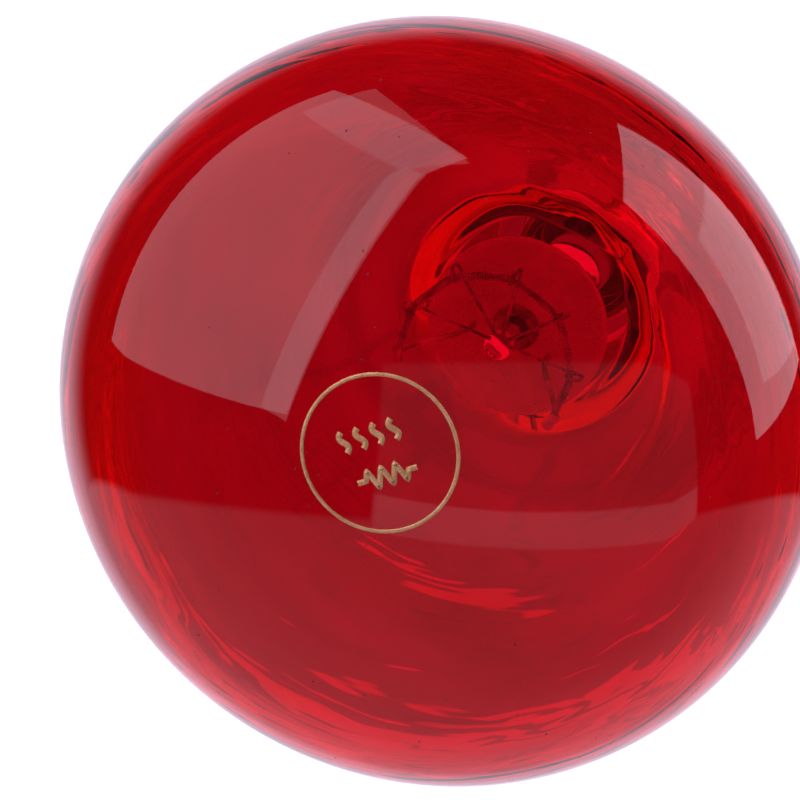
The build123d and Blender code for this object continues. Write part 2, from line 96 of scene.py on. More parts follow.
equator_centre = Vector((0, 0, EQUATOR_Z))
to_camera = Vector((sin(VIEW_TILT) * cos(VIEW_AZIMUTH), sin(VIEW_TILT) * sin(VIEW_AZIMUTH), cos(VIEW_TILT)))
axis_up = unit(Vector((0, 0, 1)) - to_camera * to_camera.z)
axis_side = axis_up.cross(to_camera)
picture_right = axis_up * cos(AXIS_IN_PICTURE) + axis_side * sin(AXIS_IN_PICTURE)
picture_up = axis_up * sin(AXIS_IN_PICTURE) - axis_side * cos(AXIS_IN_PICTURE)
eye = equator_centre + to_camera * VIEW_DISTANCE
aim = equator_centre - picture_right * SIDE_STEP * VIEW_DISTANCE + picture_up * DOWN_STEP * VIEW_DISTANCE
back = unit(eye - aim)
right = unit(picture_up.cross(back))
up = back.cross(right)
camera_data = bpy.data.cameras.new("camera")
camera_data.lens = FOCAL_LENGTH
camera_data.sensor_width = SENSOR
camera_data.clip_start = 0.01
camera = bpy.data.objects.new("camera", camera_data)
turn = Matrix((right, up, back)).transposed()
camera.matrix_world = Matrix.Translation(eye) @ turn.to_4x4()
bpy.context.scene.collection.objects.link(camera)
bpy.context.scene.camera = camera
print("camera at", [round(value, 3) for value in eye])

# %% [markdown]
# ## Node trees without tears
# Every material, the world and every Geometry Nodes tree is made of nodes and links. A few small helpers
# keep those trees short: they add a node, set plain values, join a socket or a number to an input, and do
# these things at once for a node with several inputs.

# %% Helpers for node trees
def add_node(tree, kind, **settings):
    node = tree.nodes.new(kind)
    for key, value in settings.items():
        setattr(node, key, value)
    return node


def set_inputs(node, **values):
    for key, value in values.items():
        node.inputs[key.replace("_", " ")].default_value = value
    return node


def feed(tree, socket, value):
    """Join value to an input socket: a link from another node, or a plain number or vector."""
    if isinstance(value, bpy.types.NodeSocket):
        tree.links.new(value, socket)
    elif value is not None:
        socket.default_value = value


def wired(tree, kind, sockets, **settings):
    """Add a node and join or set its inputs by name. Gives the node's first output."""
    node = add_node(tree, kind, **settings)
    for name, value in sockets.items():
        feed(tree, node.inputs[name], value)
    return node.outputs[0]


def math_node(tree, operation, first, second=None, third=None):
    node = add_node(tree, "ShaderNodeMath", operation=operation)
    for index, value in enumerate((first, second, third)):
        feed(tree, node.inputs[index], value)
    return node.outputs[0]


def soft_step(tree, value, low, high, bottom=0.0, top=1.0):
    """bottom below low, top above high, and smooth between."""
    sockets = {"Value": value, "From Min": low, "From Max": high, "To Min": bottom, "To Max": top}
    return wired(tree, "ShaderNodeMapRange", sockets, interpolation_type="SMOOTHSTEP")


# %% [markdown]
# ## Floor, backdrop and light
# Clear glass shows its surroundings twice: once through the wall and once as a reflection. So the studio is
# part of the look. A white sweep stands behind the bulb and the room in front is dim. Two large soft boxes,
# each with brighter strips, and a white table show as pale shapes on the crown. The sweep, the table and a
# grey card are painted in the world by direction. The soft boxes are area lights, which also light the metal
# and the print. What is seen through the glass is painted apart: dim straight behind the bulb and bright to
# the sides, which makes the middle a deep red and the rim a lighter one.

# %% Paint the studio in the world
world = bpy.data.worlds.new("studio")
bpy.context.scene.world = world
world.use_nodes = True
sky = world.node_tree
sky.nodes.clear()
direction = add_node(sky, "ShaderNodeTexCoord").outputs["Generated"]


def along(axis, tilt=0.0):
    """How far the ray points along axis, which leans towards the eye by tilt."""
    node = add_node(sky, "ShaderNodeVectorMath", operation="DOT_PRODUCT")
    feed(sky, node.inputs[0], direction)
    node.inputs[1].default_value = axis + to_camera * tilt
    return node.outputs["Value"]


def fold(operation, values):
    result = values[0]
    for value in values[1:]:
        result = math_node(sky, operation, result, value)
    return result


def strongest(*values):
    return fold("MAXIMUM", values)


def product(*values):
    return fold("MULTIPLY", values)


STUDIO_COLOUR = (1.0, 0.92, 1.13, 1)
ROOM_GLOW = 0.02
BACKDROP = 1.1
CARD_LEVEL = 0.15
TABLE_LIP_LEVEL = 0.6
TABLE_TILT = -0.3
LIP_TILT = -0.72
rightward = along(picture_right)
downward = along(-picture_up)
outward = along(to_camera)
sweep = soft_step(sky, outward, -0.45, -0.80, 0, BACKDROP)
table_edge = soft_step(sky, along(-picture_up, TABLE_TILT), 0.40, 0.43)
table = product(table_edge, soft_step(sky, outward, 0.6, -0.6, 0.27, 0.75))
lip = along(-picture_up, LIP_TILT)
card_sides = product(soft_step(sky, rightward, -0.48, -0.46), soft_step(sky, rightward, 0.57, 0.55))
card_ends = product(soft_step(sky, downward, 0.18, 0.21), soft_step(sky, lip, 0.08, 0.04))
card = product(card_sides, card_ends, CARD_LEVEL)
lip_ends = product(soft_step(sky, lip, 0.03, 0.05), soft_step(sky, lip, 0.20, 0.18))
table_lip = product(card_sides, lip_ends, TABLE_LIP_LEVEL)
path = add_node(sky, "ShaderNodeLightPath")
through_glass = path.outputs["Is Transmission Ray"]
behind = soft_step(sky, outward, -0.985, -0.76, 0.35, 1.3)
before = soft_step(sky, outward, 0.1, 0.6, 1.0, 0.75)
seen_through_glass = product(through_glass, behind, before)
sweep = product(sweep, math_node(sky, "SUBTRACT", 1.0, through_glass))
seen_plain = product(path.outputs["Is Camera Ray"], BACKDROP)
room = math_node(sky, "ADD", strongest(sweep, table, card, table_lip), ROOM_GLOW)
background = add_node(sky, "ShaderNodeBackground")
background.inputs["Color"].default_value = STUDIO_COLOUR
feed(sky, background.inputs["Strength"], strongest(room, seen_through_glass, seen_plain))
world_output = add_node(sky, "ShaderNodeOutputWorld")
sky.links.new(background.outputs[0], world_output.inputs["Surface"])
print("world nodes:", len(sky.nodes))

# %% Hang the soft boxes
def soft_box(name, radiance, size, away, across, rise, roll, lean):
    """A rectangular light that faces the bulb's middle. Its angles are in degrees, as the eye sees them.

    across and rise are the way from the bulb to the light, roll turns the light about that way, and lean tips
    its first side away from the bulb.
    """
    across, rise, roll, lean = (radians(angle) for angle in (across, rise, roll, lean))
    level = picture_right * sin(across) + to_camera * cos(across)
    outwards = level * cos(rise) + picture_up * sin(rise)
    sideways = unit(picture_up.cross(outwards))
    upwards = outwards.cross(sideways)
    x_axis = (sideways * cos(roll) + upwards * sin(roll)) * cos(lean) + outwards * sin(lean)
    z_axis = unit(outwards - x_axis * outwards.dot(x_axis))
    y_axis = z_axis.cross(x_axis)
    light = bpy.data.lights.new(name, "AREA")
    light.shape = "RECTANGLE"
    light.size, light.size_y = size
    light.color = LAMP_COLOUR
    light.energy = radiance * pi * size[0] * size[1]
    lamp = bpy.data.objects.new(name, light)
    turn = Matrix((x_axis, y_axis, z_axis)).transposed()
    lamp.matrix_world = Matrix.Translation(equator_centre + outwards * away) @ turn.to_4x4()
    lamp.visible_camera = False
    lamp.visible_transmission = False
    bpy.context.scene.collection.objects.link(lamp)
    print(name, "is", size[0], "by", size[1], "m,", round(light.energy, 1), "W")


LAMP_COLOUR = (1.0, 0.92, 1.05)
soft_box("left_soft_box", 1.4, (0.945, 0.765), 0.663, across=-58.1, rise=23.0, roll=66.5, lean=-1.3)
soft_box("left_top_strip", 0.7, (0.699, 0.240), 0.808, across=-36.1, rise=47.2, roll=-46.9, lean=-0.4)
soft_box("left_low_strip", 0.8, (0.734, 0.078), 0.797, across=-36.6, rise=3.5, roll=58.3, lean=-0.1)
soft_box("right_soft_box", 2.3, (0.623, 0.890), 0.716, across=78.7, rise=23.4, roll=-151.1, lean=-4.8)
soft_box("right_strip", 1.2, (0.476, 0.508), 0.819, across=88.5, rise=18.9, roll=-161.0, lean=0.1)

# %% Lay the floor
FLOOR_RADIUS = 0.6
floor_mesh = bpy.data.meshes.new("floor")
shape = bmesh.new()
bmesh.ops.create_circle(shape, cap_ends=True, segments=96, radius=FLOOR_RADIUS)
shape.to_mesh(floor_mesh)
shape.free()
floor = bpy.data.objects.new("floor", floor_mesh)
floor.visible_glossy = False
floor.visible_transmission = False
bpy.context.scene.collection.objects.link(floor)
floor_material = bpy.data.materials.new("pale_floor")
floor_material.use_nodes = True
floor_shader = floor_material.node_tree.nodes["Principled BSDF"]
set_inputs(floor_shader, Base_Color=(0.8, 0.8, 0.8, 1), Roughness=0.9, Specular_IOR_Level=0.1)
set_inputs(floor_shader, Emission_Color=(1, 1, 1, 1), Emission_Strength=0.8)
floor_mesh.materials.append(floor_material)
scene = bpy.context.scene
scene.view_settings.view_transform = "Standard"
scene.cycles.max_bounces = 24
scene.cycles.transmission_bounces = 24
scene.cycles.glossy_bounces = 12

# %% [markdown]
# ## Tools for turned and drawn pieces
# Most pieces of a bulb are made on a glass lathe or drawn as wire. A turned piece is an outline of radius
# and height that goes once round the axis. A wire is a curve with a round section, turned into a mesh.
# These two tools, with an arc and a corner-rounder for outlines, make nearly everything that follows.

# %% Outline helpers
def arc(centre, radius, start, end, steps):
    turns = [start + (end - start) * i / steps for i in range(steps + 1)]
    return [(centre[0] + radius * cos(turn), centre[1] + radius * sin(turn)) for turn in turns]


def rounded(points, radii, steps=8):
    """A polyline in the plane with its inner corners rounded to the given radii."""
    result = [points[0]]
    for before, corner, after, radius in zip(points, points[1:], points[2:], radii):
        if radius == 0:
            result.append(corner)
            continue
        a = (Vector(before) - Vector(corner)).normalized()
        b = (Vector(after) - Vector(corner)).normalized()
        half = acos(max(-1, min(1, a.dot(b)))) / 2
        centre = Vector(corner) + (a + b).normalized() * radius / sin(half)
        first = Vector(corner) + a * radius / tan(half) - centre
        last = Vector(corner) + b * radius / tan(half) - centre
        begin = atan2(first.y, first.x)
        swing = atan2(first.x * last.y - first.y * last.x, first.dot(last))
        result += arc(centre, radius, begin, begin + swing, steps)
    return result + [points[-1]]


def resample(points, step):
    """The same polyline with no two points further apart than step."""
    result = [points[0]]
    for first, last in zip(points, points[1:]):
        count = max(1, round((Vector(last) - Vector(first)).length / step))
        result += [tuple(Vector(first).lerp(Vector(last), i / count)) for i in range(1, count + 1)]
    return result


def in_mm(points):
    return [(radius * MM, height * MM) for radius, height in points]


# %% Make pieces, dress them and hand them over
def link(name, mesh):
    piece = bpy.data.objects.new(name, mesh)
    bpy.context.scene.collection.objects.link(piece)
    return piece


def close_mesh(name, shape):
    """Merge doubles, point every face outwards, shade smooth and link the result."""
    bmesh.ops.remove_doubles(shape, verts=shape.verts, dist=1e-7)
    bmesh.ops.recalc_face_normals(shape, faces=shape.faces)
    for face in shape.faces:
        face.smooth = True
    mesh = bpy.data.meshes.new(name)
    shape.to_mesh(mesh)
    shape.free()
    return link(name, mesh)


def lathe(name, outline, segments=96):
    """Turn a closed outline of (radius, height) points about the axis; points on the axis become poles."""
    shape = bmesh.new()
    rings = []
    for radius, z in outline:
        count = 1 if radius < 1e-7 else segments
        turns = [2 * pi * i / segments for i in range(count)]
        rings.append([shape.verts.new((radius * cos(turn), radius * sin(turn), z)) for turn in turns])
    for lower, upper in zip(rings, rings[1:] + rings[:1]):
        for i in range(segments):
            j = (i + 1) % segments
            corners = [lower[i % len(lower)], lower[j % len(lower)]]
            corners += [upper[j % len(upper)], upper[i % len(upper)]]
            corners = list(dict.fromkeys(corners))
            if len(corners) > 2:
                shape.faces.new(corners)
    return close_mesh(name, shape)


def to_plain_mesh(piece):
    """Apply every modifier, or turn a curve into a mesh, and keep the result as one plain mesh."""
    graph = bpy.context.evaluated_depsgraph_get()
    mesh = bpy.data.meshes.new_from_object(piece.evaluated_get(graph))
    mesh.name = piece.name
    name = piece.name
    bpy.data.objects.remove(piece)
    mesh.validate()
    return link(name, mesh)


def smooth_line(name, points, resolution=10):
    """A curve from the first to the last of some 3-D points, pulled smoothly past the others."""
    curve = bpy.data.curves.new(name, "CURVE")
    curve.dimensions = "3D"
    curve.resolution_u = resolution
    spline = curve.splines.new("NURBS")
    spline.points.add(len(points) - 1)
    for point, place in zip(spline.points, points):
        point.co = (*place, 1)
    spline.use_endpoint_u = True
    spline.order_u = 3
    return curve


def wire(name, points, radius):
    """A round wire along a smooth line, as a closed mesh."""
    curve = smooth_line(name, points)
    curve.bevel_depth = radius
    curve.bevel_resolution = 3
    curve.use_fill_caps = True
    return to_plain_mesh(link(name, curve))


def hand_over(piece, material, slot, *nodes):
    """Give the piece its finish, hide the CAD nodes that it replaces, and let it ride on the bulb's only
    body. slot is not used.
    """
    piece.data.materials.clear()
    piece.data.materials.append(material)
    if nodes:
        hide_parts(*nodes)
    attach(piece, ROOT)
    print(piece.name, len(piece.data.polygons), "faces")
    return piece


# %% [markdown]
# ## Geometry Nodes from a script
# A Geometry Nodes tree is a little machine with named inputs. The helper starts such a tree, and another
# runs it on a piece: it sets each input by its socket's identifier and then keeps the result as a plain
# mesh, because a finished piece should not depend on a live modifier.

# %% Geometry Nodes helpers
def geometry_tree(name, **inputs):
    """A tree that takes and gives geometry. Each named input is a float, an integer or a material."""
    tree = bpy.data.node_groups.new(name, "GeometryNodeTree")
    tree.interface.new_socket("Geometry", in_out="INPUT", socket_type="NodeSocketGeometry")
    tree.interface.new_socket("Geometry", in_out="OUTPUT", socket_type="NodeSocketGeometry")
    kinds = {"float": "NodeSocketFloat", "int": "NodeSocketInt", "material": "NodeSocketMaterial"}
    for label, kind in inputs.items():
        tree.interface.new_socket(label, in_out="INPUT", socket_type=kinds[kind])
    return tree, add_node(tree, "NodeGroupInput").outputs


def end_tree(tree, geometry, material):
    """Close a tree with Realize Instances and Set Material."""
    real = wired(tree, "GeometryNodeRealizeInstances", {"Geometry": geometry})
    painted = wired(tree, "GeometryNodeSetMaterial", {"Geometry": real, "Material": material})
    feed(tree, add_node(tree, "NodeGroupOutput").inputs[0], painted)


def run_tree(piece, tree, **values):
    """Run the tree on the piece with these input values and keep the result as a plain mesh."""
    modifier = piece.modifiers.new(tree.name, "NODES")
    modifier.node_group = tree
    sockets = {item.name: item.identifier for item in tree.interface.items_tree if item.in_out == "INPUT"}
    for label, value in values.items():
        modifier[sockets[label]] = value
    return to_plain_mesh(piece)


def vector_math(tree, operation, first, second=None):
    node = add_node(tree, "ShaderNodeVectorMath", operation=operation)
    feed(tree, node.inputs[0], first)
    if operation == "SCALE":
        feed(tree, node.inputs["Scale"], second)
    elif second is not None:
        feed(tree, node.inputs[1], second)
    return node.outputs["Value" if operation in ("DOT_PRODUCT", "LENGTH") else "Vector"]


def combine(tree, x, y, z):
    return wired(tree, "ShaderNodeCombineXYZ", {"X": x, "Y": y, "Z": z})


def noise(tree, vector, scale, detail=2.0, distortion=0.0):
    sockets = {"Vector": vector, "Scale": scale, "Detail": detail, "Distortion": distortion}
    return wired(tree, "ShaderNodeTexNoise", sockets)


def position(tree):
    """The point's place, whole and as its three parts."""
    place = add_node(tree, "GeometryNodeInputPosition").outputs[0]
    split = add_node(tree, "ShaderNodeSeparateXYZ")
    feed(tree, split.inputs[0], place)
    return place, split.outputs


def attribute(tree, name):
    """A number that the mesh carries on each point under this name."""
    return wired(tree, "GeometryNodeInputNamedAttribute", {"Name": name}, data_type="FLOAT")


def sweep_section(tree, line, section):
    """A closed solid made by drawing the section along the line."""
    sockets = {"Curve": line, "Profile Curve": section, "Fill Caps": True}
    return wired(tree, "GeometryNodeCurveToMesh", sockets)


def circle(tree, radius, corners):
    return wired(tree, "GeometryNodeCurvePrimitiveCircle", {"Resolution": corners, "Radius": radius})


def move_points(tree, geometry, offset):
    return wired(tree, "GeometryNodeSetPosition", {"Geometry": geometry, "Offset": offset})


# %% [markdown]
# ## Materials
# The bulb has two kinds of glass. Red glass is clear glass with a little metal in its melt, and in the
# thickness of one wall it takes away nearly all the green light and most of the blue. That is a volume
# effect, so the colour comes from absorption inside a real wall, and a thick place is darker than a thin
# one. The metals get fine drawn lines, worn and stained patches, and bumps from nodes on Object
# coordinates.

# %% Glass
def new_material(name):
    material = bpy.data.materials.new(name)
    material.use_nodes = True
    tree = material.node_tree
    place = add_node(tree, "ShaderNodeTexCoord").outputs["Object"]
    return material, tree, tree.nodes["Principled BSDF"], place


def stretched(tree, place, scale):
    return wired(tree, "ShaderNodeMapping", {"Vector": place, "Scale": scale})


def mix_colours(tree, share, first, second):
    """first where share is 0 and second where it is 1. Each is a colour socket or three numbers."""
    node = add_node(tree, "ShaderNodeMix", data_type="RGBA")
    feed(tree, node.inputs[0], share)
    for socket, colour in zip(node.inputs[6:8], (first, second)):
        feed(tree, socket, (*colour, 1) if isinstance(colour, tuple) else colour)
    return node.outputs[2]


def ramp(tree, value, low, high, low_colour, high_colour):
    """A smooth blend from low_colour to high_colour as value goes from low to high."""
    return mix_colours(tree, soft_step(tree, value, low, high), low_colour, high_colour)


def bump(tree, shader, height, strength, distance):
    sockets = {"Strength": strength, "Distance": distance, "Height": height}
    feed(tree, shader.inputs["Normal"], wired(tree, "ShaderNodeBump", sockets))


def glass(name, absorption, density, streak_colour, ripple):
    """Clear glass with drawn streaks in its tint, flow lines on its inside and absorption in its wall."""
    material, tree, shader, place = new_material(name)
    set_inputs(shader, Transmission_Weight=1.0, Roughness=0.0, IOR=1.5)
    streaks = noise(tree, stretched(tree, place, (14, 14, 120)), 1.0, 3.0, 1.2)
    feed(tree, shader.inputs["Base Color"], ramp(tree, streaks, 0.35, 0.65, streak_colour, (1, 1, 1)))
    flow = noise(tree, stretched(tree, place, (26, 26, 200)), 1.0, 1.0, 1.4)
    amount = add_node(tree, "ShaderNodeAttribute", attribute_name="flow").outputs["Fac"]
    bump(tree, shader, math_node(tree, "MULTIPLY", flow, amount), ripple, 2 * MM)
    volume = add_node(tree, "ShaderNodeVolumeAbsorption")
    set_inputs(volume, Color=(*absorption, 1), Density=density)
    tree.links.new(volume.outputs[0], tree.nodes["Material Output"].inputs["Volume"])
    return material


red_glass = glass("red_glass", (0.988, 0.25, 0.60), 3000, (0.84, 0.84, 0.84), 0.14)
clear_glass = glass("clear_glass", (0.9, 0.96, 0.93), 60, (0.93, 0.96, 0.95), 0.05)
flare_glass = glass("flare_glass", (0.9, 0.96, 0.93), 60, (0.88, 0.87, 0.84), 0.05)
set_inputs(flare_glass.node_tree.nodes["Principled BSDF"], Transmission_Weight=0.5, Roughness=0.2)
black_glass, tree, shader, place = new_material("black_glass")
mottle = noise(tree, place, 900.0, 3.0)
blacks = ramp(tree, mottle, 0.3, 0.7, (0.006, 0.006, 0.008), (0.03, 0.03, 0.036))
# Faces that point up get a pale tan colour in place of the mottled black.
facing = add_node(tree, "ShaderNodeSeparateXYZ")
feed(tree, facing.inputs[0], add_node(tree, "ShaderNodeNewGeometry").outputs["Normal"])
paler_facing_up = mix_colours(tree, soft_step(tree, facing.outputs[2], 0.1, 0.5), blacks, (0.72, 0.64, 0.52))
feed(tree, shader.inputs["Base Color"], paler_facing_up)
feed(tree, shader.inputs["Roughness"], soft_step(tree, mottle, 0.2, 0.8, 0.06, 0.2))
bump(tree, shader, noise(tree, place, 350.0, 2.0), 0.3, 0.2 * MM)
set_inputs(shader, IOR=1.6)


# %% Metals, mica, ink and cement
def metal(name, dark, light, roughness, grain=(300, 300, 40), wear_scale=250.0, depth=0.04):
    """Worked metal: drawn grain lines in roughness and bump, and broad patches of tarnish in the colour."""
    material, tree, shader, place = new_material(name)
    set_inputs(shader, Metallic=1.0)
    tarnish = noise(tree, place, wear_scale, 4.0, 0.4)
    lines = noise(tree, stretched(tree, place, grain), 30.0, 2.0)
    feed(tree, shader.inputs["Base Color"], ramp(tree, tarnish, 0.35, 0.68, dark, light))
    wear = math_node(tree, "ADD", tarnish, lines)
    rough = soft_step(tree, wear, 0.7, 1.4, roughness * 1.5, roughness * 0.7)
    feed(tree, shader.inputs["Roughness"], rough)
    bump(tree, shader, lines, 0.25, depth * MM)
    return material


def haze_the_inside(material, haze):
    """Faces that look at the axis carry a pale film of dried cement instead of bare metal."""
    tree = material.node_tree
    shader = tree.nodes["Principled BSDF"]
    place = add_node(tree, "ShaderNodeTexCoord").outputs["Object"]
    facing = add_node(tree, "ShaderNodeNewGeometry").outputs["Normal"]
    level = vector_math(tree, "NORMALIZE", vector_math(tree, "MULTIPLY", place, (1, 1, 0)))
    film = soft_step(tree, vector_math(tree, "DOT_PRODUCT", facing, level), -0.2, -0.5)
    bare = shader.inputs["Base Color"].links[0].from_socket
    feed(tree, shader.inputs["Base Color"], mix_colours(tree, film, bare, haze))
    feed(tree, shader.inputs["Metallic"], math_node(tree, "SUBTRACT", 1.0, film))


lead_metal = metal("nickel_wire", (0.30, 0.27, 0.22), (0.56, 0.53, 0.48), 0.32)
copper = metal("copper_wire", (0.42, 0.19, 0.10), (0.80, 0.46, 0.30), 0.3)
tungsten = metal("tungsten", (0.20, 0.19, 0.20), (0.48, 0.47, 0.47), 0.30, wear_scale=400.0)
molybdenum = metal("molybdenum", (0.16, 0.15, 0.16), (0.40, 0.39, 0.40), 0.35)
shell_metal = metal("shell_metal", (0.60, 0.56, 0.48), (0.86, 0.84, 0.80), 0.22, (20, 20, 500), 120.0)
haze_the_inside(shell_metal, (0.78, 0.72, 0.62))
contact_brass = metal("contact_brass", (0.50, 0.34, 0.14), (0.86, 0.66, 0.34), 0.25, (200, 200, 200), 300.0)
collar_steel = metal("collar_steel", (0.20, 0.19, 0.18), (0.42, 0.41, 0.40), 0.5, wear_scale=350.0)
solder = metal("solder", (0.36, 0.36, 0.38), (0.74, 0.74, 0.76), 0.34, (120, 120, 120), 500.0, 0.1)

mica, tree, shader, place = new_material("mica")
flakes = noise(tree, stretched(tree, place, (1, 1, 12)), 160.0, 4.0, 1.0)
feed(tree, shader.inputs["Base Color"], ramp(tree, flakes, 0.3, 0.7, (0.86, 0.80, 0.70), (1.0, 0.97, 0.93)))
feed(tree, shader.inputs["Roughness"], soft_step(tree, flakes, 0.3, 0.7, 0.25, 0.45))
bump(tree, shader, flakes, 0.2, 0.1 * MM)
set_inputs(shader, Transmission_Weight=0.55, IOR=1.56)

gold_ink, tree, shader, place = new_material("gold_ink")
grains = noise(tree, place, 4200.0, 3.0)
cloud = noise(tree, place, 500.0, 2.0)
clouded = math_node(tree, "MULTIPLY", cloud, 0.4)
clouded = math_node(tree, "MULTIPLY_ADD", grains, 0.6, clouded)
gold = ramp(tree, clouded, 0.36, 0.62, (0.68, 0.32, 0.12), (0.98, 0.57, 0.28))
feed(tree, shader.inputs["Base Color"], gold)
feed(tree, shader.inputs["Roughness"], soft_step(tree, grains, 0.3, 0.7, 0.55, 0.38))
bump(tree, shader, grains, 0.4, 0.02 * MM)
set_inputs(shader, Metallic=0.35)

cement, tree, shader, place = new_material("cement")
lumps = noise(tree, place, 700.0, 5.0, 0.3)
feed(tree, shader.inputs["Base Color"], ramp(tree, lumps, 0.3, 0.7, (0.42, 0.34, 0.24), (0.74, 0.66, 0.52)))
bump(tree, shader, lumps, 0.8, 0.3 * MM)
set_inputs(shader, Roughness=0.85)
print("materials:", [material.name for material in bpy.data.materials])

# %% [markdown]
# ## The red envelope
# The real envelope is blown in a mould that turns round it, so its outside is true and its inside is not:
# hot glass runs, and leaves bands, swirls and soft waves in the wall. The piece is turned from an outer and
# an inner outline that join at the neck's end, which makes one closed wall. A Geometry Nodes tree then
# moves only the inner surface. Swirls and waves are noise, drawn out along the way that the glass turned.
# Beads are thick bands in chosen places: they bend light like a lens, so each shows as a bright crescent
# beside a dark line.

# %% Outline of the envelope
CONE_SLOPE = radians(36)
NECK_TAPER = 0.13
NECK_END_R = 11.2 * MM
NECK_LIP_Z = 27.4 * MM
NECK_FOOT = (16.2 * MM, 33.0 * MM)
FILLETS = (2.2 * MM, 9.0 * MM, 15.0 * MM)


def envelope_side(inset):
    """The envelope's side from the neck's end up to the crown, set in by inset."""
    shoulder = SHOULDER_R - inset
    crown = CROWN_R - inset
    cone_end = (SHOULDER_CENTRE_R + shoulder * cos(CONE_SLOPE), EQUATOR_Z - shoulder * sin(CONE_SLOPE))
    foot = (NECK_FOOT[0] - inset, NECK_FOOT[1])
    gain = tan(CONE_SLOPE)
    corner_z = (foot[0] - cone_end[0] + gain * cone_end[1] - NECK_TAPER * foot[1]) / (gain - NECK_TAPER)
    corner = (foot[0] + NECK_TAPER * (corner_z - foot[1]), corner_z)
    neck = [(NECK_END_R - inset, neck_low.z), (NECK_END_R - inset, NECK_LIP_Z + inset / 2)]
    neck += [foot, corner, cone_end]
    side = rounded(neck, [FILLETS[0] + inset, FILLETS[1] - inset, FILLETS[2] + inset], 12)
    meet = atan2(EQUATOR_Z - CROWN_CENTRE_Z, SHOULDER_CENTRE_R)
    side += arc((SHOULDER_CENTRE_R, EQUATOR_Z), shoulder, -CONE_SLOPE, meet, 70)[1:]
    side += arc((0, CROWN_CENTRE_Z), crown, meet, pi / 2, 44)[1:]
    side[-1] = (0, side[-1][1])
    return side


SEGMENTS = 192
outer_side = resample(envelope_side(0), 2.0 * MM)
inner_side = resample(envelope_side(GLASS_WALL), 0.9 * MM)
envelope = lathe("red_envelope", outer_side + inner_side[::-1], SEGMENTS)


def ease(value, low, high):
    """0 below low, 1 above high and smooth between; low may be above high."""
    share = max(0.0, min(1.0, (value - low) / (high - low)))
    return share * share * (3 - 2 * share)


CALM_CROWN_Z = 166 * MM
LIVELY_HIGH_Z = EQUATOR_Z + 12 * MM
LIVELY_LOW_Z = 103 * MM
CALM_NECK_Z = 78 * MM
LEAST_FLOW = 0.02
inner_mark = envelope.data.attributes.new("inner", "FLOAT", "POINT")
flow_mark = envelope.data.attributes.new("flow", "FLOAT", "POINT")
first_inner = SEGMENTS * (len(outer_side) - 1) + 1
for vertex, inner, flow in zip(envelope.data.vertices, inner_mark.data, flow_mark.data):
    inner.value = 1.0 if vertex.index >= first_inner else 0.0
    height = vertex.co.z
    lively = ease(height, CALM_NECK_Z, LIVELY_LOW_Z) * ease(height, CALM_CROWN_Z, LIVELY_HIGH_Z)
    flow.value = inner.value * (LEAST_FLOW + (1 - LEAST_FLOW) * lively)
print("outer rings", len(outer_side), "inner rings", len(inner_side))

# %% Let the inner surface run
tree, knobs = geometry_tree("run_glass", Swirl="float", Wave="float", Bead="float", Material="material")
place, (x_part, y_part, z_part) = position(tree)
drawn_out = vector_math(tree, "MULTIPLY", place, (16, 16, 190))
swirl = math_node(tree, "SUBTRACT", noise(tree, drawn_out, 1.0, 1.0, 1.3), 0.5)
wave = math_node(tree, "SUBTRACT", noise(tree, place, 45.0, 1.0, 1.0), 0.5)
around = math_node(tree, "ARCTAN2", y_part, x_part)


def band(centre_z, half_height, centre_angle, half_angle, climb):
    """1 along a line on the wall and 0 beyond its edges. climb is the height gained for each radian."""
    swing = math_node(tree, "SUBTRACT", around, radians(centre_angle))
    swing = math_node(tree, "WRAP", swing, pi, -pi)
    middle = math_node(tree, "MULTIPLY_ADD", swing, climb, centre_z)
    height = math_node(tree, "ABSOLUTE", math_node(tree, "SUBTRACT", z_part, middle))
    swing = math_node(tree, "ABSOLUTE", swing)
    near = soft_step(tree, height, 0.1 * half_height, half_height, 1, 0)
    level = soft_step(tree, swing, 0.4 * radians(half_angle), radians(half_angle), 1, 0)
    return math_node(tree, "MULTIPLY", near, level)


# Each bead: height in metres, half height in mm, angle, half angle, climb in mm and share of the full depth.
MOUTH_Z = neck_high.z + 1 * MM
BEADS = [
    (MOUTH_Z, 7.0, 95, 105, 0, 1.0),
    (MOUTH_Z, 7.0, -60, 100, 0, 1.0),
    (157.5 * MM, 7.0, 165, 48, 0, 0.4),
    (79.5 * MM, 2.2, -43, 48, -10, 0.2),
    (104 * MM, 7.0, -122, 36, 4, 0.3),
]
bead = None
for bead_z, half_height, bead_angle, half_angle, climb, share in BEADS:
    thick = band(bead_z, half_height * MM, bead_angle, half_angle, climb * MM)
    thick = math_node(tree, "MULTIPLY", thick, share)
    bead = thick if bead is None else math_node(tree, "MAXIMUM", bead, thick)
free_of_seal = soft_step(tree, z_part, neck_low.z + 1 * MM, neck_low.z + 12 * MM)
shift = math_node(tree, "MULTIPLY", swirl, knobs["Swirl"])
shift = math_node(tree, "MULTIPLY_ADD", wave, knobs["Wave"], shift)
shift = math_node(tree, "MULTIPLY", shift, attribute(tree, "flow"))
shift = math_node(tree, "MULTIPLY_ADD", bead, knobs["Bead"], shift)
shift = math_node(tree, "MULTIPLY", shift, attribute(tree, "inner"))
shift = math_node(tree, "MULTIPLY", shift, free_of_seal)
normal = add_node(tree, "GeometryNodeInputNormal").outputs[0]
moved = move_points(tree, knobs["Geometry"], vector_math(tree, "SCALE", normal, shift))
end_tree(tree, moved, knobs["Material"])
envelope = run_tree(envelope, tree, Swirl=0.7 * MM, Wave=0.7 * MM, Bead=2.6 * MM, Material=red_glass)
envelope = hand_over(envelope, red_glass, "red_glass", "glass_bowl", "glass_neck")

# %% [markdown]
# ## Specks in the glass
# Blown glass is never quite clean: specks of scale from the mould stay in its skin. They are scattered at
# random, so a Geometry Nodes tree spreads points over the front of the bulb from a fixed seed and puts a
# small flat grain on each, which keeps the grains repeatable and cheap.

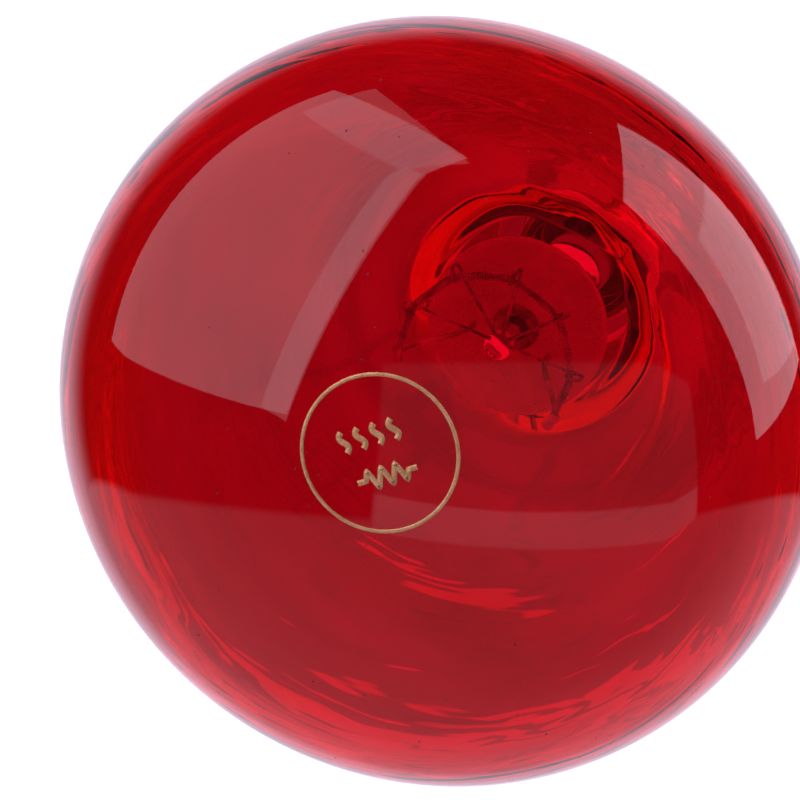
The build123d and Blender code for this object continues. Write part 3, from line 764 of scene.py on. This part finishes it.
# %% Scatter the specks
speck_finish, finish_tree, shader, place = new_material("scale_speck")
soot = noise(finish_tree, place, 6000.0, 2.0)
grain_colour = ramp(finish_tree, soot, 0.3, 0.7, (0.05, 0.005, 0.006), (0.30, 0.05, 0.05))
feed(finish_tree, shader.inputs["Base Color"], grain_colour)
feed(finish_tree, shader.inputs["Roughness"], soft_step(finish_tree, soot, 0.3, 0.7, 0.4, 0.7))
tree, knobs = geometry_tree("scatter_specks", Density="float", Grain="float", Seed="int", Material="material")
SPECKS_ABOVE_Z = 150 * MM
SMALLEST_SHARE = 0.35
FLATNESS = 0.12
z_part = position(tree)[1][2]
front = math_node(tree, "GREATER_THAN", z_part, SPECKS_ABOVE_Z)
front = math_node(tree, "SUBTRACT", front, attribute(tree, "inner"))
front = math_node(tree, "GREATER_THAN", front, 0.5)
sockets = {"Mesh": knobs["Geometry"], "Selection": front, "Density": knobs["Density"], "Seed": knobs["Seed"]}
points = wired(tree, "GeometryNodeDistributePointsOnFaces", sockets)
turns = points.node.outputs["Rotation"]
grain = wired(tree, "GeometryNodeMeshIcoSphere", {"Radius": knobs["Grain"]})
sizes = add_node(tree, "FunctionNodeRandomValue", data_type="FLOAT")
sizes.inputs[2].default_value = SMALLEST_SHARE
sizes.inputs[3].default_value = 1.0
feed(tree, sizes.inputs["Seed"], knobs["Seed"])
scale = combine(tree, sizes.outputs[1], sizes.outputs[1], FLATNESS)
sockets = {"Points": points, "Instance": grain, "Rotation": turns, "Scale": scale}
end_tree(tree, wired(tree, "GeometryNodeInstanceOnPoints", sockets), knobs["Material"])
specks = link("scale_specks", envelope.data.copy())
specks = run_tree(specks, tree, Density=7000.0, Grain=0.22 * MM, Seed=7, Material=speck_finish)
hand_over(specks, speck_finish, "red_glass")

# %% [markdown]
# ## The glass mount
# Inside the neck stands the mount: a flared glass tube that is melted to the neck's end, pressed flat round
# the wires at its top, with a glass rod that carries the filament's supports. The flare, the pump tube and
# the rod are turned. The press is the tube squeezed flat, so it is a stack of rounded-rectangle rings whose
# width and depth change.

# %% Turn the flare, the pump tube and the rod
STEM_TUBE_R = 6.2
STEM_WALL = 1.0
FLARE_RIM = 1.3
FLARE_RIM_R = 11.0
FLARE_SWEEP = (NECK_END_R - GLASS_WALL) / MM - STEM_TUBE_R
PRESS_LOW, PRESS_HIGH = (corner.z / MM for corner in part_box("stem_press"))
flare_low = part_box("stem_flare")[0].z / MM
sweep_centre = (STEM_TUBE_R + FLARE_SWEEP, flare_low + FLARE_RIM + FLARE_SWEEP)
flare_line = [(STEM_TUBE_R, PRESS_LOW)] + arc(sweep_centre, FLARE_SWEEP, pi, 1.5 * pi, 14)
flare_line += arc((FLARE_RIM_R, flare_low + FLARE_RIM / 2), FLARE_RIM / 2, pi / 2, -pi / 2, 8)
inner_sweep = FLARE_SWEEP + STEM_WALL
inside_r = STEM_TUBE_R - STEM_WALL
flare_line += arc((inside_r + inner_sweep, flare_low + inner_sweep), inner_sweep, 1.5 * pi, pi, 14)
flare_line += [(inside_r, PRESS_LOW)]
flare = lathe("stem_flare_glass", in_mm(flare_line), 96)
hand_over(flare, flare_glass, "clear_glass", "stem_flare")

pump_low, pump_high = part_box("exhaust_tube")
PUMP_R = pump_high.x / MM
PUMP_WALL = 0.7
bore = PUMP_R - PUMP_WALL
pump_line = [(PUMP_R, pump_high.z / MM)]
pump_line += arc((bore + PUMP_WALL / 2, pump_low.z / MM + PUMP_WALL / 2), PUMP_WALL / 2, 0, -pi, 8)
pump_line += [(bore, pump_high.z / MM)]
hand_over(lathe("pump_tube", in_mm(pump_line), 48), clear_glass, "clear_glass", "exhaust_tube")

arbor_low, arbor_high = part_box("glass_arbor")
ROD_R = 1.6
BUTTON_R = 2.6
button_z = arbor_high.z / MM - BUTTON_R
start = acos(ROD_R / BUTTON_R)
rod_line = [(0, arbor_low.z / MM), (ROD_R, arbor_low.z / MM)]
rod_line += arc((0, button_z), BUTTON_R, -start, pi / 2, 20)[:-1] + [(0, arbor_high.z / MM)]
hand_over(lathe("glass_rod", in_mm(rod_line), 48), clear_glass, "clear_glass", "glass_arbor")

# %% Squeeze the press
MOUNT_TURN = radians(-40)
PRESS_HALF_DEPTH = 2.5
PRESS_HALF_WIDTH = 6.2


def press_ring(shape, height, half_width, half_depth, power, count=64):
    """One level ring of the press: a circle when power is 2, and nearer a rectangle as power grows."""
    ring = []
    for i in range(count):
        turn = 2 * pi * i / count
        across = abs(cos(turn)) ** (2 / power) * half_width * (1 if cos(turn) > 0 else -1)
        deep = abs(sin(turn)) ** (2 / power) * half_depth * (1 if sin(turn) > 0 else -1)
        x = across * cos(MOUNT_TURN) - deep * sin(MOUNT_TURN)
        y = across * sin(MOUNT_TURN) + deep * cos(MOUNT_TURN)
        ring.append(shape.verts.new((x * MM, y * MM, height * MM)))
    return ring


shape = bmesh.new()
rings = []
PRESS_STEPS = 18
for step in range(PRESS_STEPS + 1):
    share = step / PRESS_STEPS
    squeeze = min(1, share * 2.2)
    squeeze = squeeze * squeeze * (3 - 2 * squeeze)
    shrink = 1 - 0.35 * max(0, (share - 0.9) / 0.1) ** 2
    depth = (STEM_TUBE_R + (PRESS_HALF_DEPTH - STEM_TUBE_R) * squeeze) * shrink
    height = PRESS_LOW + (PRESS_HIGH - PRESS_LOW) * share
    rings.append(press_ring(shape, height, PRESS_HALF_WIDTH * (0.5 + 0.5 * shrink), depth, 2 + 1.6 * squeeze))
for lower, upper in zip(rings, rings[1:]):
    for i in range(len(lower)):
        j = (i + 1) % len(lower)
        shape.faces.new((lower[i], lower[j], upper[j], upper[i]))
shape.faces.new(rings[0][::-1])
shape.faces.new(rings[-1])
hand_over(close_mesh("press_glass", shape), clear_glass, "clear_glass", "stem_press")

# %% [markdown]
# ## Wires
# The wires are drawn stock, bent by hand on a jig, so each one is a curve with a round section. Inside the
# press a thin seal wire joins the nickel lead above to the copper below. The five support hooks stand round
# the rod's button, and a Geometry Nodes tree gives one bent pattern hook its round section and sets a copy at
# each angle.

# %% Draw the leads and the wires below the press
FILAMENT_R = 15.0
FILAMENT_Z = 105.0
FILAMENT_ANGLES = [160, 128, 92, 52, 12, -28, -60]
SIDES = {"left": (-1, 140, 160), "right": (1, -40, -60)}


def polar(radius, angle, height):
    return (radius * MM * cos(radians(angle)), radius * MM * sin(radians(angle)), height * MM)


def turned(x, y, z):
    """A point of the mount, given before the mount's turn."""
    return polar((x * x + y * y) ** 0.5, 180 / pi * (atan2(y, x) + MOUNT_TURN), z)


# Each side: which way from the axis, the angle at the press, and the angle at the filament's end.
for side, (sign, foot, angle) in SIDES.items():
    bends = [polar(4, foot, 48), polar(4, foot, 53), polar(4.4, foot, 57), polar(7.4, angle, 72)]
    bends += [polar(7.4, angle, 80), polar(7.6, angle, 87), polar(FILAMENT_R, angle, 99.5)]
    bends += [polar(FILAMENT_R, angle, FILAMENT_Z - 0.9)]
    hand_over(wire("lead_" + side, bends, 0.5 * MM), lead_metal, "nickel_wire", "lead_in_" + side)
    seal = [turned(4 * sign, 0, 40), turned(4 * sign, 0, 44), turned(4 * sign, 0, 48)]
    hand_over(wire("seal_" + side, seal, 0.35 * MM), copper, "copper_wire", "seal_wire_" + side)

fuse = [turned(-4, 0, 30), turned(-4, 0, 35), turned(-4, 0, 40)]
hand_over(wire("fuse_link", fuse, 0.15 * MM), copper, "copper_wire", "fuse_wire")
middle = [(-4, 30), (-4, 20), (-4, 13.2), (-1.6, 10), (0, 7.6), (0, 5), (0, 1)]
middle = [turned(x, 0, z) for x, z in middle]
hand_over(wire("middle_lead", middle, 0.3 * MM), copper, "copper_wire", "centre_lead")
edge = [(4, 40), (4, 28), (4, 18), (5.4, 14.8), (7.5, 12.7), (9.6, 12.2), (11.3, 13.2)]
edge += [(11.45, 16), (11.45, 22), (11.7, 25.5), (11.9, 27.0)]
edge = [turned(x, 0, z) for x, z in edge]
hand_over(wire("edge_lead", edge, 0.2 * MM), copper, "copper_wire", "side_lead")

# %% Bend one hook and set it round the button
tree, knobs = geometry_tree("hook_ring", First="float", Step="float", Gauge="float", Material="material")
HOOKS = len(FILAMENT_ANGLES) - 2
bent = sweep_section(tree, knobs["Geometry"], circle(tree, knobs["Gauge"], 8))
places = wired(tree, "GeometryNodePoints", {"Count": HOOKS})
index = add_node(tree, "GeometryNodeInputIndex").outputs[0]
angle = math_node(tree, "MULTIPLY_ADD", index, knobs["Step"], knobs["First"])
sockets = {"Points": places, "Instance": bent, "Rotation": combine(tree, 0.0, 0.0, angle)}
end_tree(tree, wired(tree, "GeometryNodeInstanceOnPoints", sockets), knobs["Material"])
hook_line = [(1.3, 94), (5, 96), (12.4, 100.8), (15.4, 101.6), (16.6, 102.9), (16.6, 105.2), (15.6, 106.5)]
hook_line += [(14.2, 106.2), (13.9, 104.8), (14.8, 103.9), (15.7, 104.3)]
LEG_POINTS = 5
EYE_STEP = 0.12
asides = [EYE_STEP * max(0, number - LEG_POINTS + 1) for number in range(len(hook_line))]
hook_line = [(radius * MM, aside * MM, height * MM) for (radius, height), aside in zip(hook_line, asides)]
hook = link("hooks", smooth_line("hooks", hook_line, 8))
step = radians(FILAMENT_ANGLES[HOOKS] - FILAMENT_ANGLES[1]) / (HOOKS - 1)
first = radians(FILAMENT_ANGLES[1])
hooks = run_tree(hook, tree, First=first, Step=step, Gauge=0.3 * MM, Material=molybdenum)
support_nodes = ["support_wire_%d" % number for number in range(1, HOOKS + 1)]
hand_over(hooks, molybdenum, "molybdenum", *support_nodes)

# %% [markdown]
# ## The filament
# The filament is tungsten wire wound into a long tight spring, which hangs in shallow swags from hook to
# hook. The winding is a rule: walk along the swag and go round it once for each turn. A Geometry Nodes tree
# moves each point of a finely divided curve out along its normal, turned by its place along the length, and
# then gives the line a round section.

# %% Wind the filament
tree, knobs = geometry_tree("wind_coil", Radius="float", Turns="float", Gauge="float", Material="material")
along_line = add_node(tree, "GeometryNodeSplineParameter").outputs["Factor"]
tangent = add_node(tree, "GeometryNodeInputTangent").outputs[0]
sideway = vector_math(tree, "NORMALIZE", vector_math(tree, "CROSS_PRODUCT", tangent, (0.0, 0.0, 1.0)))
upward = vector_math(tree, "CROSS_PRODUCT", sideway, tangent)
phase = math_node(tree, "MULTIPLY", math_node(tree, "MULTIPLY", along_line, knobs["Turns"]), 2 * pi)
part_a = vector_math(tree, "SCALE", sideway, math_node(tree, "COSINE", phase))
part_b = vector_math(tree, "SCALE", upward, math_node(tree, "SINE", phase))
step_out = vector_math(tree, "SCALE", vector_math(tree, "ADD", part_a, part_b), knobs["Radius"])
POINTS_A_TURN = 14.0
count = math_node(tree, "MULTIPLY", knobs["Turns"], POINTS_A_TURN)
fine = wired(tree, "GeometryNodeResampleCurve", {"Curve": knobs["Geometry"], "Count": count})
winding = move_points(tree, fine, step_out)
coil = sweep_section(tree, winding, circle(tree, knobs["Gauge"], 5))
end_tree(tree, coil, knobs["Material"])

SAG = 0.5
PULL_IN = 0.7
COIL_TURNS = 150.0
swag = []
for here, after in zip(FILAMENT_ANGLES, FILAMENT_ANGLES[1:]):
    middle_angle = (here + after) / 2
    swag += [polar(FILAMENT_R, here, FILAMENT_Z), polar(FILAMENT_R - PULL_IN, middle_angle, FILAMENT_Z - SAG)]
swag.append(polar(FILAMENT_R, FILAMENT_ANGLES[-1], FILAMENT_Z))
core = link("filament", smooth_line("filament", swag, 12))
sizes = {"Radius": 0.62 * MM, "Turns": COIL_TURNS, "Gauge": 0.11 * MM}
filament = run_tree(core, tree, Material=tungsten, **sizes)
hand_over(filament, tungsten, "tungsten", "filament_coil")

# %% [markdown]
# ## Clamps, deflector and collar
# The end of each lead is folded over the filament and pinched shut. The heat deflector is a thin disc of
# mica that keeps hot gas from the cap; a steel eyelet holds it on the rod. All of them are turned, and the
# clamps are then laid along the filament.

# %% Pinch the clamps
CLAMP_HALF = 1.5
CLAMP_R = 0.95
PINCH_R = 0.8
EDGE = 0.25
END_R = 0.75
clamp_end = [(PINCH_R, 0.45), (CLAMP_R, 0.7), (CLAMP_R, CLAMP_HALF - EDGE)]
clamp_end += [(END_R, CLAMP_HALF), (0, CLAMP_HALF)]
clamp_line = [(radius, -height) for radius, height in reversed(clamp_end)] + clamp_end
for side, (_, _, angle) in SIDES.items():
    centre = sum(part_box("filament_clamp_" + side), Vector()) / 2
    clamp = lathe("clamp_" + side, in_mm(resample(clamp_line, 0.2)), 24)
    lay = Vector((0, 0, 1)).rotation_difference(Vector((-sin(radians(angle)), cos(radians(angle)), 0)))
    clamp.data.transform(Matrix.Translation(centre) @ lay.to_matrix().to_4x4())
    hand_over(clamp, lead_metal, "nickel_wire", "filament_clamp_" + side)

# %% Turn the deflector and its collar
disc_low, disc_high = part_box("heat_deflector")
DISC_R = disc_high.x / MM
DISC_Z = disc_high.z / MM
DISC_T = 0.4
BORE_R = 1.63
COLLAR_WALL = 0.5
hole = BORE_R + COLLAR_WALL
disc_line = [(hole, DISC_Z - DISC_T), (DISC_R - 1.0, DISC_Z - DISC_T), (DISC_R - DISC_T, DISC_Z - 1.0)]
disc_line += [(DISC_R - DISC_T, disc_low.z / MM), (DISC_R, disc_low.z / MM), (DISC_R, DISC_Z - 0.9)]
disc_line += arc((DISC_R - 0.9, DISC_Z - 0.9), 0.9, 0, pi / 2, 6) + [(hole, DISC_Z)]
deflector = lathe("mica_deflector", in_mm(resample(disc_line, 0.8)), 96)
hand_over(deflector, mica, "mica", "heat_deflector")
collar_low, collar_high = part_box("deflector_collar")
FLANGE_R = collar_high.x / MM
base, top = collar_low.z / MM, collar_high.z / MM
collar_line = [(BORE_R, base), (hole, base), (hole, DISC_Z - DISC_T), (hole, DISC_Z)]
collar_line += [(FLANGE_R - 0.2, DISC_Z)]
collar_line += arc((FLANGE_R - 0.25, DISC_Z + 0.25), 0.25, -pi / 2, pi / 2, 6) + [(hole + 0.3, DISC_Z + 0.5)]
collar_line += [(hole, DISC_Z + 0.8), (hole, top), (BORE_R, top)]
collar = lathe("collar", in_mm(collar_line), 64)
hand_over(collar, collar_steel, "collar_steel", "deflector_collar")

# %% [markdown]
# ## The screw cap
# A round thread in sheet metal is rolled, so the inside is the outside's negative. It follows one rule:
# every level ring of a plain tube slides sideways by the thread's depth, and the way it slides turns once
# round for each pitch of height. A Geometry Nodes tree does that to a turned tube, and the slide fades out
# at both ends.

# %% Roll the thread
PITCH = 3.629
THREAD_DEPTH = 0.53
THREAD_LOW = 7.0
THREAD_HIGH = 23.0
FADE = 2.4
SHELL_WALL = 0.3
thread_knobs = dict.fromkeys(("Depth", "Pitch", "Low", "High", "Fade"), "float")
tree, knobs = geometry_tree("roll_thread", **thread_knobs, Material="material")
height = position(tree)[1][2]


def fade_in(distance):
    """sin squared of a quarter turn as distance goes from 0 to the fade's length."""
    share = math_node(tree, "DIVIDE", distance, knobs["Fade"])
    share = math_node(tree, "MAXIMUM", math_node(tree, "MINIMUM", share, 1.0), 0.0)
    wave = math_node(tree, "SINE", math_node(tree, "MULTIPLY", share, pi / 2))
    return math_node(tree, "MULTIPLY", wave, wave)


rise = fade_in(math_node(tree, "SUBTRACT", height, knobs["Low"]))
fall = fade_in(math_node(tree, "SUBTRACT", knobs["High"], height))
depth = math_node(tree, "MULTIPLY", math_node(tree, "MULTIPLY", rise, fall), knobs["Depth"])
phase = math_node(tree, "MULTIPLY", math_node(tree, "DIVIDE", height, knobs["Pitch"]), 2 * pi)
slide_x = math_node(tree, "MULTIPLY", math_node(tree, "COSINE", phase), depth)
slide_y = math_node(tree, "MULTIPLY", math_node(tree, "SINE", phase), depth)
rolled = move_points(tree, knobs["Geometry"], combine(tree, slide_x, slide_y, 0.0))
end_tree(tree, rolled, knobs["Material"])

THREAD_MEAN_R = 12.57
CURL_R = 1.4
LIP_R = 10.6
foot_z = shell_low.z / MM
rim_z = shell_high.z / MM
curl_centre = (THREAD_MEAN_R - CURL_R, foot_z + CURL_R)
shell_line = [(LIP_R, foot_z)] + arc(curl_centre, CURL_R, -pi / 2, 0, 8)
shell_line += [(THREAD_MEAN_R, THREAD_LOW + 1), (THREAD_MEAN_R, rim_z - 0.1)]
shell_line += arc((THREAD_MEAN_R - SHELL_WALL / 2, rim_z - SHELL_WALL / 2), SHELL_WALL / 2, 0, pi, 6)
shell_line += [(THREAD_MEAN_R - SHELL_WALL, THREAD_LOW + 1)]
shell_line += arc(curl_centre, CURL_R - SHELL_WALL, 0, -pi / 2, 8) + [(LIP_R, foot_z + SHELL_WALL)]
shell = lathe("screw_cap_shell", in_mm(resample(shell_line, 0.22)), 144)
sizes = {"Depth": THREAD_DEPTH, "Pitch": PITCH, "Low": THREAD_LOW, "High": THREAD_HIGH, "Fade": FADE}
sizes = {label: size * MM for label, size in sizes.items()}
shell = run_tree(shell, tree, Material=shell_metal, **sizes)
hand_over(shell, shell_metal, "shell_metal", "screw_shell")

# %% [markdown]
# ## The printed sign
# Ink is pressed on with a rubber pad, so it lies on the crown as a thin raised ribbon and follows its
# curve. Each stroke starts as a flat line. A Geometry Nodes tree gives the line a flat section and then
# lifts every point by the height of the crown at that place. The signs are generic ones: rising heat above
# a heating element.

# %% Lay ink on the crown
ink_knobs = dict.fromkeys(("Width", "Thickness", "Radius", "Centre"), "float")
tree, knobs = geometry_tree("ink_on_crown", **ink_knobs, Material="material")
sockets = {"Curve": knobs["Geometry"], "Length": 0.2 * MM}
fine = wired(tree, "GeometryNodeResampleCurve", sockets, mode="LENGTH")
level = wired(tree, "GeometryNodeSetCurveNormal", {"Curve": fine}, mode="Z_UP")
sockets = {"Width": knobs["Width"], "Height": knobs["Thickness"]}
ribbon = sweep_section(tree, level, wired(tree, "GeometryNodeCurvePrimitiveQuadrilateral", sockets))
place = position(tree)[0]
flat = vector_math(tree, "LENGTH", vector_math(tree, "MULTIPLY", place, (1, 1, 0)))
square = math_node(tree, "MULTIPLY", knobs["Radius"], knobs["Radius"])
square = math_node(tree, "SUBTRACT", square, math_node(tree, "MULTIPLY", flat, flat))
lift = math_node(tree, "ADD", math_node(tree, "SQRT", square), knobs["Centre"])
lift = math_node(tree, "MULTIPLY_ADD", knobs["Thickness"], 0.6, lift)
laid = move_points(tree, ribbon, combine(tree, 0.0, 0.0, lift))
end_tree(tree, laid, knobs["Material"])
INK_THICKNESS = 0.05
PRINT_CENTRE = (0.3, 2.1)


def print_strokes(name, strokes, width, closed=False):
    """Flat strokes, each a list of (x, y) in millimetres from the sign's centre, laid on the crown as ink."""
    flat_lines = bpy.data.curves.new(name, "CURVE")
    flat_lines.dimensions = "3D"
    for stroke in strokes:
        line = flat_lines.splines.new("POLY")
        line.points.add(len(stroke) - 1)
        line.use_cyclic_u = closed
        for point, (x, y) in zip(line.points, stroke):
            point.co = ((PRINT_CENTRE[0] + x) * MM, (PRINT_CENTRE[1] + y) * MM, 0, 1)
    sizes = {"Width": width * MM, "Thickness": INK_THICKNESS * MM}
    sizes |= {"Radius": CROWN_R, "Centre": CROWN_CENTRE_Z}
    piece = run_tree(link(name, flat_lines), tree, Material=gold_ink, **sizes)
    hand_over(piece, gold_ink, "gold_ink", name.replace("ink", "print"))


RING_R = 12.3
WAVES = 4
WAVE_GAP = 2.75
WAVE_HEIGHT = 3.3
WAVE_SWAY = 0.55
print_strokes("ink_ring", [arc((0, 0), RING_R, 0, 2 * pi, 120)[:-1]], 0.6, closed=True)
waves = []
for number in range(WAVES):
    centre_x = (number - (WAVES - 1) / 2) * WAVE_GAP - 0.6
    steps = [i / 24 for i in range(25)]
    waves.append([(centre_x + WAVE_SWAY * sin(2 * pi * t), 3.1 + WAVE_HEIGHT * (t - 0.5)) for t in steps])
print_strokes("ink_heat_sign", waves, 0.95)
PEAKS = 6
LEAD = 1.4
SIGN_WIDTH = 9.8
tooth = (SIGN_WIDTH - 2 * LEAD) / PEAKS
zigzag = [(-SIGN_WIDTH / 2, 0), (-SIGN_WIDTH / 2 + LEAD, 0)]
for number in range(PEAKS):
    zigzag.append((-SIGN_WIDTH / 2 + LEAD + tooth * (number + 0.5), 1.5 if number % 2 == 0 else -1.5))
zigzag += [(SIGN_WIDTH / 2 - LEAD, 0), (SIGN_WIDTH / 2, 0)]
print_strokes("ink_element_sign", [[(0.2 + x, -3.5 + y) for x, y in zigzag]], 0.88)

# %% [markdown]
# ## Below and inside the cap
# Black glass insulates the centre contact, a brass plate with a bead of solder. A second bead joins the
# side wire to the shell's rim, and brown cement holds the cap on the neck. These CAD pieces have the right
# shape already, so they only get their finishes; the cement gets a crumbly one.

# %% Dress the pieces that keep their CAD shape
finishes = {
    "cap_insulator": black_glass,
    "centre_contact": contact_brass,
    "centre_solder": solder,
    "side_solder": solder,
    "basing_cement": cement,
}
for node, finish in finishes.items():
    for piece_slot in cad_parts[node].material_slots:
        piece_slot.material = finish
    print(node, "has", finish.name)
